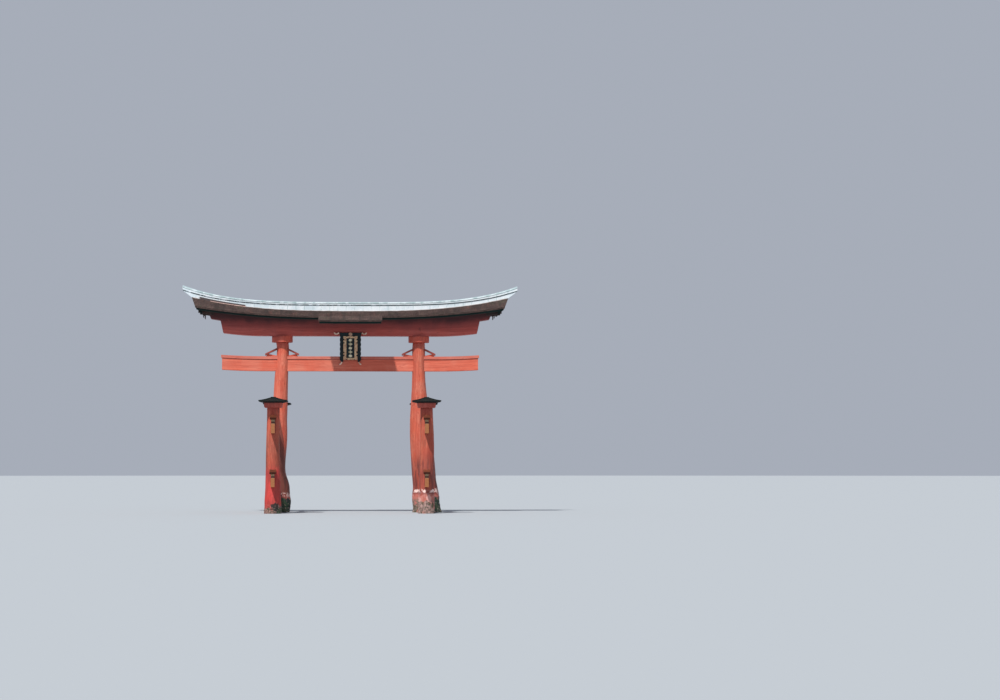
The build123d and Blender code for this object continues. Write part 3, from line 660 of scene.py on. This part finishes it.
# verdigris, duller on top and at the cap's head, with a broken line of painted shadow along the cap's foot and a
# dark band above the bark where the skirt is torn off
def makeCopper():
    material, tree, shader, coords = newMaterial("verdigrisCopper")
    split = splitUp(tree, coords)

    def cover(mask, shade):
        return blend(tree, mask, colour, copper[shade])

    patches = cloud(tree, coords, 1.3, 6, 0.65)
    fine = cloud(tree, coords, 14, 5, 0.7)
    runs = rainMask(tree, coords, 7, 0.3, 0.5)
    colour = blend(tree, remap(tree, patches, 0.36, 0.64), copper["pale"], copper["bright"])
    colour = cover(remap(tree, fine, 0.5, 0.7, 0, 0.5), "fine")
    colour = cover(product(tree, runs, 0.35), "run")
    # painted shadow: a broken dark line along the foot of the cap
    broken = remap(tree, cloud(tree, stretched(tree, coords, (1, 0.4, 0.3)), 3.1, 4, 0.7), 0.42, 0.52)
    dashes = calc(tree, "MAXIMUM", broken, remap(tree, split[0], 1.0, 3.0, 0, 0.85))
    wander = sway(tree, stretched(tree, coords, (1, 0, 0)), 1.7, 4, 0.6, 0.06)
    overCourse = plus(tree, heightOverCurve(tree, coords, "course"), wander)
    offLine = calc(tree, "ABSOLUTE", minus(tree, overCourse, copper["shadowLineLevel"]))
    colour = cover(product(tree, remap(tree, offLine, 0.042, 0.02), dashes, 0.9), "line")
    colour = cover(remap(tree, heightOverCurve(tree, coords, "cap"), -0.1, -0.04, 0, 0.6), "head")
    pastStart = remap(tree, split[0], roof["tornFrom"], roof["tornFrom"] + 0.2)
    beforeStop = remap(tree, split[0], roof["tornTo"] + 0.07, roof["tornTo"] - 0.03)
    onFront = remap(tree, split[1], 0, -0.1)
    low = remap(tree, heightOverCurve(tree, coords, "ridge"), 0.055, 0.03)
    colour = cover(product(tree, pastStart, beforeStop, onFront, low, 0.95), "torn")
    facing = splitUp(tree, place(tree, "TexCoord").outputs["Normal"])[2]
    colour = cover(remap(tree, facing, 0.5, 0.8, 0, 0.85), "top")
    finishShader(tree, shader, colour, 0.62, fine, 0.25, 0.01)
    return material


def makePlainMetal(name, pale, dark, shine):
    material, tree, shader, coords = newMaterial(name)
    patches = cloud(tree, coords, 2.1, 6, 0.65)
    runs = rainMask(tree, coords, 6, 0.5, 0.5)
    colour = blend(tree, remap(tree, patches, 0.4, 0.6), pale, dark)
    colour = blend(tree, product(tree, runs, 0.6), colour, dark)
    finishShader(tree, shader, colour, shine, patches, 0.3, 0.01)
    return material


plaqueTints = dict(gilding=((206, 176, 140), (186, 136, 104)), worn=(96, 66, 52), lacquer=((4, 14, 22), (10, 34, 38)))


def makeGilding():
    material, tree, shader, coords = newMaterial("dullGilding")
    wear = cloud(tree, coords, 7, 6, 0.7)
    fine = cloud(tree, coords, 40, 4, 0.6)
    colour = blend(tree, remap(tree, wear, 0.4, 0.6), *plaqueTints["gilding"])
    colour = blend(tree, remap(tree, wear, 0.56, 0.66, 0, 0.8), colour, plaqueTints["worn"])
    tree.links.new(remap(tree, wear, 0.6, 0.45, 0.1, 0.45), shader.inputs["Metallic"])
    finishShader(tree, shader, colour, remap(tree, fine, 0.3, 0.7, 0.4, 0.6), fine, 0.2, 0.005)
    return material


def makeLacquer():
    material, tree, shader, coords = newMaterial("blackLacquer")
    wear = cloud(tree, coords, 3, 6, 0.65)
    fine = cloud(tree, coords, 30, 4, 0.6)
    colour = blend(tree, remap(tree, wear, 0.4, 0.65), *plaqueTints["lacquer"])
    finishShader(tree, shader, colour, remap(tree, fine, 0.3, 0.7, 0.45, 0.65), fine, 0.12, 0.005, 0.3)
    return material


barkShingle = makeBark()
barkCutEdge = makeBarkEdge()
verdigris = makeCopper()
paleGilding = makePlainMetal("paleGilding", (232, 198, 178), (168, 124, 98), 0.5)
rosyCopper = makePlainMetal("rosyCopper", (222, 190, 181), (188, 152, 143), 0.6)
paleCopper = makePlainMetal("paleCopper", (214, 226, 230), (158, 180, 182), 0.6)
skirtCopper = makePlainMetal("skirtCopper", (160, 151, 150), (136, 124, 120), 0.7)
agedIvory = makePlainMetal("agedIvory", (222, 212, 182), (176, 160, 124), 0.5)
dullGilding = makeGilding()
blackLacquer = makeLacquer()
print("roof and metal materials made")

dress(barkShingle, "bark_roof")
dress(verdigris, "ridge_cap", "ridge_course")
dress(dullGilding, "plaque_frame")
dress(paleGilding, "plaque_fittings")
dress(blackLacquer, "plaque_board", "plaque_panel")


# posts with adze marks, checks and swellings, cut from the frame's own posts
postWork = dict(
    fluteDepth=0.02, adzeDepth=0.006, crackDepth=0.02, crackWidth=0.035, rootLumps=0.035, rootReach=1.6,
    plainEnds=0.02,
)


def workPost(kind, tail):
    nodeName = nodeOf(kind, tail)
    values = postValues[kind, tail]
    seed = values["seed"]
    mould = bpy.data.meshes.new("mould")
    bm = bmesh.new()
    bm.from_mesh(nodes[nodeName].data)
    bmesh.ops.remove_doubles(bm, verts=bm.verts, dist=0.0001)
    bm.to_mesh(mould)
    bm.free()
    block = addObject("mould", mould)
    remesh = block.modifiers.new("remesh", "REMESH")
    remesh.mode = "VOXEL"
    remesh.voxel_size = postKinds[kind]["voxel"]
    solid = bpy.data.meshes.new_from_object(block.evaluated_get(bpy.context.evaluated_depsgraph_get()))
    bpy.data.objects.remove(block)
    bm = bmesh.new()
    bm.from_mesh(solid)
    bm.normal_update()
    low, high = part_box(nodeName)
    for vert in bm.verts:
        spot = vert.co
        rise = spot.z - low.z
        if min(rise, high.z - spot.z) < postWork["plainEnds"] or abs(vert.normal.z) > 0.7:
            continue
        flute = noise.noise((spot.x * 1.6 + seed, spot.y * 1.6, spot.z * 0.16))
        adze = noise.noise((spot.x * 7, spot.y * 7 + seed, spot.z * 2.2))
        check = abs(noise.noise((spot.x * 3.1, spot.y * 3.1 - seed, spot.z * 0.22)))
        lump = noise.noise((spot.x * 2.6, spot.y * 2.6, spot.z * 2.1 + seed))
        root = max(0, 1 - rise / postWork["rootReach"])
        shift = flute * postWork["fluteDepth"] + adze * postWork["adzeDepth"] + root * lump * postWork["rootLumps"]
        shift -= postWork["crackDepth"] * max(0, 1 - check / postWork["crackWidth"])
        vert.co += vert.normal * shift
        for hand, middle, half, swell in values.get("swells", ()):
            near = max(0, 1 - ((spot.z - middle) / half) ** 2)
            vert.co.x += hand * swell * near ** 2 * max(0, hand * vert.normal.x)
    piece = addPiece(f"{kind}_{tail}", bm, nodes[nodeName].data.materials[0], 60)
    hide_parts(nodeName)
    return piece


posts = {key: workPost(*key) for key in postValues}
print("posts worked")


# shells that crust the feet up to the tide line
shellBed = dict(
    lowest=0.07, pastCrust=0.12, sizes=(0.014, 0.04), taper=0.4, depths=(0.7, 1.4), pale=(184, 160, 150),
    dark=(84, 74, 66),
)


def makeShellMaterial():
    material, tree, shader, coords = newMaterial("shellCrust")
    speckle = cloud(tree, coords, 6, 4, 0.7)
    colour = blend(tree, remap(tree, speckle, 0.38, 0.62), shellBed["dark"], shellBed["pale"])
    finishShader(tree, shader, colour, 0.85, cloud(tree, coords, 60, 2, 0.5), 0.4, 0.01)
    return material


def crustPost(piece, name, count, values, material):
    surface = BVHTree.FromObject(piece, bpy.context.evaluated_depsgraph_get())
    highest = values["tide"][0] + shellBed["pastCrust"]
    bm = bmesh.new()
    for _ in range(count):
        turn = random.uniform(0, 2 * math.pi)
        rise = shellBed["lowest"] + highest * random.random() ** 1.6
        size = random.uniform(*shellBed["sizes"])
        outward = Vector((math.cos(turn), math.sin(turn), 0))
        hit, normal, _, _ = surface.ray_cast(Vector((*values["centre"], rise)) + outward * 3, -outward)
        if hit is None:
            continue
        spot = Matrix.Translation(hit) @ normal.to_track_quat("Z", "Y").to_matrix().to_4x4()
        bmesh.ops.create_cone(
            bm, cap_ends=True, segments=6, radius1=size, radius2=size * shellBed["taper"],
            depth=size * random.uniform(*shellBed["depths"]),
            matrix=spot @ Matrix.Rotation(random.uniform(0, 1), 4, "Z"),
        )
    addPiece(name, bm, material, 30)


shellCrust = makeShellMaterial()
for (kind, tail), values in postValues.items():
    name = f"shells_{tail}_trunk" if kind == "trunk" else f"shells_{tail}"
    crustPost(posts[kind, tail], name, postKinds[kind]["shells"], values, shellCrust)
print("feet crusted")


# bark courses laid from the eave up, each one standing a little proud of the next
bark = dict(
    courses=15, columns=230, canopyCourses=6, canopyColumns=46, lap=0.016, ragged=0.01, wave=0.004, thick=0.03,
    top=0.17, inset=0.004, canopyInset=0.002,
)


def layBark(end, way):
    bm = bmesh.new()

    def lift(x, row, seed):
        wave = noise.noise((x * 1.5, (row + 1) // 2 + seed, way))
        return bark["wave"] * (1 + wave) + (bark["lap"] if row % 2 else 0)

    def barkPoint(across, down):
        row = round(down * 2 * bark["courses"])
        course = (row + 1) // 2
        share = between(bark["top"], 1, course / bark["courses"])
        if 0 < course < bark["courses"]:
            share += bark["ragged"] * noise.noise((across * 60, course * 3.1, way))
        x = (2 * across - 1) * (gableEdge(share) - bark["inset"])
        return x, way * roof["depth"] * share, slopeHeight(x, share) + lift(x, row, 0)

    def canopyPoint(across, down):
        row = round(down * 2 * bark["canopyCourses"])
        share = (row + 1) // 2 / bark["canopyCourses"]
        x = (2 * across - 1) * (roof["canopyHalf"] - bark["canopyInset"])
        out = between(roof["depth"], roof["canopyDepth"], share)
        return x, way * out, curveAt("eave", x) - roof["canopyFall"] * share + lift(x, row, 20)

    addSheet(bm, bark["columns"], 2 * bark["courses"], barkPoint, bark["thick"], (0, 0, 1))
    addSheet(bm, bark["canopyColumns"], 2 * bark["canopyCourses"], canopyPoint, bark["thick"], (0, 0, 1))
    addPiece(f"bark_courses_{end}", bm, barkShingle, 25)


# the trimmed edges of the bark, in thin layers, along the eaves, the canopy and the gables
trim = dict(
    layers=6, proud=0.004, tooth=0.008, thick=0.012, eaveColumns=60, canopyColumns=30,
    sideColumns=8, gableColumns=14, gableTop=0.02,
)


# a sheet whose every other layer stands out further
def addLayers(bm, columns, pointAt, outward):
    rows = 2 * trim["layers"]

    def layerPoint(across, down):
        proud = trim["proud"] + (trim["tooth"] if round(down * rows) % 2 else 0)
        return pointAt(across, down, proud)

    addSheet(bm, columns, rows, layerPoint, trim["thick"], outward)


def trimEave(end, way):
    bm = bmesh.new()
    outer = gableEdge(1) - bark["inset"]
    for hand in (-1, 1):
        def eavePoint(across, down, proud):
            x = hand * between(roof["canopyHalf"], outer, across)
            return x, way * (roof["depth"] + proud), curveAt("eave", x) - roof["barkEave"] * down

        addLayers(bm, trim["eaveColumns"], eavePoint, (0, way, 0))

    def canopyFront(across, down, proud):
        x = (2 * across - 1) * roof["canopyHalf"]
        height = curveAt("eave", x) - roof["canopyFall"] - roof["barkEave"] * down
        return x, way * (roof["canopyDepth"] + proud), height

    addLayers(bm, trim["canopyColumns"], canopyFront, (0, way, 0))
    for hand in (-1, 1):
        def canopySide(across, down, proud):
            x = hand * (roof["canopyHalf"] + proud)
            height = curveAt("eave", x) - roof["canopyFall"] * across - roof["barkEave"] * down
            return x, way * between(roof["depth"], roof["canopyDepth"], across), height

        addLayers(bm, trim["sideColumns"], canopySide, (hand, 0, 0))
    addPiece(f"bark_edge_{end}", bm, barkCutEdge, 25)


def trimGable(side, hand):
    bm = bmesh.new()
    for way in (-1, 1):
        def gablePoint(along, down, proud):
            share = between(trim["gableTop"], 1, along)
            depth = between(roof["barkRidge"], roof["barkEave"], share) * down
            x = gableEdge(share) - roof["gableLean"] * depth
            return hand * (x + proud), way * roof["depth"] * share, slopeHeight(x, share) - depth

        addLayers(bm, trim["gableColumns"], gablePoint, (hand, 0, 0))
    addPiece(f"bark_gable_edge_{side}", bm, barkCutEdge, 25)


for end in ends:
    layBark(end, wayOf[end])
    trimEave(end, wayOf[end])
for side in sides:
    trimGable(side, wayOf[side])
print("bark laid")


# Copper work of the ridge: rolls along the cap, upright seams, the skirt that lies on the bark, and the batten
# that is left where the skirt is torn off. Each skirt run is towards -Y or +Y, from x to x. The seams stop short
# under the cap, over the course and under the cap's head by seamEnds.
ridge = dict(
    courseHalf=0.3, capHalf=0.35, roll=0.05, rollOut=0.55, rollRise=0.135, rollCorners=8, rollColumns=120,
    tipReach=12.08, seamReach=11.2, seamStep=0.605, seamHalf=0.014, seamProud=0.012, seamSink=0.01,
    seamEnds=(0.004, 0.012, 0.01), bareFoot=0.05,
    skirtRuns=((-1, roof["tornTo"], 11.25), (-1, -11.35, roof["tornFrom"]), (1, -11.3, 11.3)),
    skirtTop=0.155, skirtFoot=0.235, skirtRagged=0.008, skirtLift=0.035, skirtRipple=0.012,
    skirtThick=0.016, skirtColumns=8, skirtRows=4, battenFrom=-10.1, battenShare=0.205, battenLift=0.03,
    battenHalf=(0.032, 0.036), battenColumns=26,
)


def rollRidge():
    bm = bmesh.new()
    share = ridge["rollRise"] / (curves["cap"][0] - curves["course"][0])
    for way in (-1, 1):
        def rollPoint(along, turn):
            x = (2 * along - 1) * ridge["tipReach"]
            y = way * (ridge["capHalf"] + ridge["roll"] * ridge["rollOut"] * math.cos(turn))
            middle = between(curveAt("course", x), curveAt("cap", x), share)
            return x, y, middle + ridge["roll"] * math.sin(turn)

        addBar(bm, ridge["rollColumns"], ridge["rollCorners"], rollPoint)
    addPiece("ridge_rolls", bm, paleCopper, 40)


def seamRidge():
    bm = bmesh.new()
    half = ridge["seamHalf"]
    underCap, overCourse, underHead = ridge["seamEnds"]
    for step in range(int(2 * ridge["seamReach"] / ridge["seamStep"]) + 1):
        x = step * ridge["seamStep"] - ridge["seamReach"]
        for way in (-1, 1):
            bare = way < 0 and roof["tornFrom"] < x < roof["tornTo"]
            foot = curveAt("ridge", x) + ridge["bareFoot"] if bare else slopeHeight(x, bark["top"])
            line = curveAt("course", x)
            faces = (
                (ridge["courseHalf"], foot, line - underCap),
                (ridge["capHalf"], line + overCourse, curveAt("cap", x) - underHead),
            )
            for face, low, high in faces:
                inner = way * (face - ridge["seamSink"])
                addBlock(bm, (x - half, inner, low), (x + half, way * (face + ridge["seamProud"]), high))
    addPiece("ridge_seams", bm, paleCopper, 30)


def skirtRidge():
    bm = bmesh.new()
    for way, start, stop in ridge["skirtRuns"]:
        def skirtPoint(across, down):
            x = between(start, stop, across)
            share = between(ridge["skirtTop"], ridge["skirtFoot"], down)
            if down == 1:
                share += ridge["skirtRagged"] * noise.noise((x * 3.1, way, 0))
            ripple = ridge["skirtRipple"] * noise.noise((x * 2.3, way * 3, down))
            height = slopeHeight(x, share) + ridge["skirtLift"] + ripple
            return x, way * roof["depth"] * share, height

        columns = max(6, int((stop - start) * ridge["skirtColumns"]))
        addSheet(bm, columns, ridge["skirtRows"], skirtPoint, ridge["skirtThick"], (0, 0, 1))
    addPiece("ridge_skirt", bm, skirtCopper, 30)


def battenRidge():
    bm = bmesh.new()
    share = ridge["battenShare"]
    halfY, halfZ = ridge["battenHalf"]

    def battenPoint(along, turn):
        x = between(ridge["battenFrom"], roof["tornTo"], along)
        turn += math.pi / 4  # flat sides up and down
        y = -roof["depth"] * share + halfY * math.cos(turn)
        return x, y, slopeHeight(x, share) + ridge["battenLift"] + halfZ * math.sin(turn)

    addBar(bm, ridge["battenColumns"], 4, battenPoint)
    addPiece("ridge_batten", bm, rosyCopper, 30)


rollRidge()
seamRidge()
skirtRidge()
battenRidge()
print("ridge trimmed")


# boards that clad the box beam, butted in a stagger, following the sweep
boards = dict(
    rows=3, length=3.12, shortest=1, stagger=0.3, firstJoint=0.55, gap=0.008, thick=0.02,
    reachFoot=9.15, reachHead=9.35, inset=0.02, columns=16, proud=(0.001, 0.005),
)


def cladBeam(end, way):
    bm = bmesh.new()
    gap = boards["gap"]
    high = (beams["lowerHead"] - beams["lowerFoot"]) / boards["rows"]
    for row in range(boards["rows"]):
        low = beams["lowerFoot"] + row * high
        full = between(boards["reachFoot"], boards["reachHead"], (row + 0.5) / boards["rows"])
        reach = full - boards["inset"]
        joints = [-reach]
        joint = -reach + boards["length"] * (boards["firstJoint"] + boards["stagger"] * row)
        while joint < reach - boards["shortest"]:
            joints.append(joint)
            joint += boards["length"]
        joints.append(reach)
        for start, stop in zip(joints, joints[1:]):
            proud = random.uniform(*boards["proud"])

            def boardPoint(across, up):
                x = between(start + gap / 2, stop - gap / 2, across)
                z = between(low + gap / 2, low + high - gap / 2, up) + sweepLift(x, beams["radius"])
                return x, way * (beams["lowerHalf"] + boards["thick"] + proud), z

            addSheet(bm, boards["columns"], 1, boardPoint, boards["thick"], (0, way, 0))
    addPiece(f"beam_boards_{end}", bm, paints["beamPaint"], 30)


for end in ends:
    cladBeam(end, wayOf[end])
print("beam clad")


# hips and a cap for the little roofs
hood = dict(
    x=5.41, y=4.4, foot=7.955, half=1.005, tipHalf=0.13, tipRise=0.23, hipHalf=(0.03, 0.026),
    hipLift=0.01, capHalf=0.17, capFoot=-0.04, capHead=0.05, capBevel=0.012,
)


def trimLittleRoof(side, end):
    bm = bmesh.new()
    centreX = wayOf[side] * hood["x"]
    centreY = wayOf[end] * hood["y"]
    hipWide, hipHigh = hood["hipHalf"]
    for signX in (-1, 1):
        for signY in (-1, 1):
            def hipPoint(along, turn):
                out = between(hood["half"], hood["tipHalf"], along)
                rise = hood["tipRise"] * (0.55 * along + 0.45 * along ** 2)
                offset = hipWide * math.cos(turn) / math.sqrt(2)
                height = hood["foot"] + rise + hood["hipLift"] + hipHigh * math.sin(turn)
                return centreX + signX * (out + offset), centreY + signY * (out - offset), height

            addBar(bm, 10, 6, hipPoint)
    tip = hood["foot"] + hood["tipRise"]
    half = hood["capHalf"]
    capBlock = addBlock(
        bm, (centreX - half, centreY - half, tip + hood["capFoot"]),
        (centreX + half, centreY + half, tip + hood["capHead"]),
    )
    capEdges = list({edge for vert in capBlock for edge in vert.link_edges})
    bmesh.ops.bevel(
        bm, geom=capEdges, offset=hood["capBevel"], segments=2, profile=0.5, affect="EDGES", material=-1,
    )
    addPiece(f"little_roof_trim_{side}_{end}", bm, paints["sleeveRoofPaint"], 35)


for side in sides:
    for end in ends:
        trimLittleRoof(side, end)
print("little roofs trimmed")


# the plaque's ornament: a bead down each side of the panel, and a column of plain roundels and lozenges. The
# motifs take turns at these corners and radii.
plaque = dict(
    lean=9, foot=10.97, back=0.284, thick=0.08, panelThick=0.05, panelHalf=0.29, panelLow=0.214, panelHigh=1.646,
    motifs=5, motifShapes=((14, 0.133), (4, 0.161)), motifHigh=0.85, motifTaper=0.6, motifThick=0.03, proud=0.012,
    beadHalf=0.014, beadOut=0.012,
)
lean = Matrix.Rotation(math.radians(90 + plaque["lean"]), 4, "X")
plaqueFace = Matrix.Translation((0, -plaque["back"], plaque["foot"])) @ lean


def ornamentPlaque():
    bm = bmesh.new()
    level = plaque["thick"] + plaque["panelThick"] + plaque["proud"]
    for step in range(plaque["motifs"]):
        height = between(plaque["panelLow"], plaque["panelHigh"], (step + 0.5) / plaque["motifs"])
        segments, size = plaque["motifShapes"][step % 2]
        shape = Matrix.Translation((0, height, level)) @ Matrix.Diagonal((1, plaque["motifHigh"], 1, 1))
        bmesh.ops.create_cone(
            bm, cap_ends=True, segments=segments, radius1=size, radius2=size * plaque["motifTaper"],
            depth=plaque["motifThick"], matrix=plaqueFace @ shape,
        )
    for hand in (-1, 1):
        def beadPoint(along, turn):
            x = hand * (plaque["panelHalf"] + plaque["beadOut"] + plaque["beadHalf"] * math.cos(turn))
            y = between(plaque["panelLow"], plaque["panelHigh"], along)
            return plaqueFace @ Vector((x, y, level + plaque["beadHalf"] * math.sin(turn)))

        addBar(bm, 10, 8, beadPoint)
    addPiece("plaque_ornament", bm, agedIvory, 30)


ornamentPlaque()
print("plaque finished")


# light, floor and camera
studio = dict(
    sunTurn=-27, sunHeight=56, sunStrength=4.5, sunWidth=2.5, sunColour=(1, 0.97, 0.92),
    backdrop=(0.70, 0.76, 0.88, 1), backdropStrength=0.55, floor=(160, 166, 172), floorRadius=600,
)
lamp = bpy.data.lights.new("keyLight", "SUN")
lamp.energy = studio["sunStrength"]
lamp.angle = math.radians(studio["sunWidth"])
lamp.color = studio["sunColour"]
sun = addObject("keyLight", lamp)
sun.rotation_euler = (math.radians(90 - studio["sunHeight"]), 0, math.radians(studio["sunTurn"]))

world = bpy.data.worlds.new("paleStudio")
world.use_nodes = True
backdrop = world.node_tree.nodes["Background"]
backdrop.inputs["Color"].default_value = studio["backdrop"]
backdrop.inputs["Strength"].default_value = studio["backdropStrength"]
bpy.context.scene.world = world
bpy.context.scene.view_settings.view_transform = "Standard"

floorMaterial, floorTree, floorShader, floorCoords = newMaterial("paleFloor")
floorWaves = cloud(floorTree, floorCoords, 0.4, 3, 0.5)
finishShader(floorTree, floorShader, tint(studio["floor"]), 0.9, floorWaves, 0.05)
bm = bmesh.new()
bmesh.ops.create_circle(bm, cap_ends=True, segments=96, radius=studio["floorRadius"])
floorMesh = bpy.data.meshes.new("studio_floor")
bm.to_mesh(floorMesh)
bm.free()
floorMesh.materials.append(floorMaterial)
studioFloor = addObject("studio_floor", floorMesh)

shot = dict(place=(0.7, -190, 3.5), turn=-3.06, tilt=2.49, lens=94.3, reach=1500)
lens = bpy.data.cameras.new("photoView")
lens.lens = shot["lens"]
lens.sensor_width = 36
lens.clip_end = shot["reach"]
camera = addObject("photoView", lens)
camera.location = shot["place"]
camera.rotation_euler = (math.radians(90 + shot["tilt"]), 0, math.radians(shot["turn"]))
bpy.context.scene.camera = camera
print("camera, light and floor set")
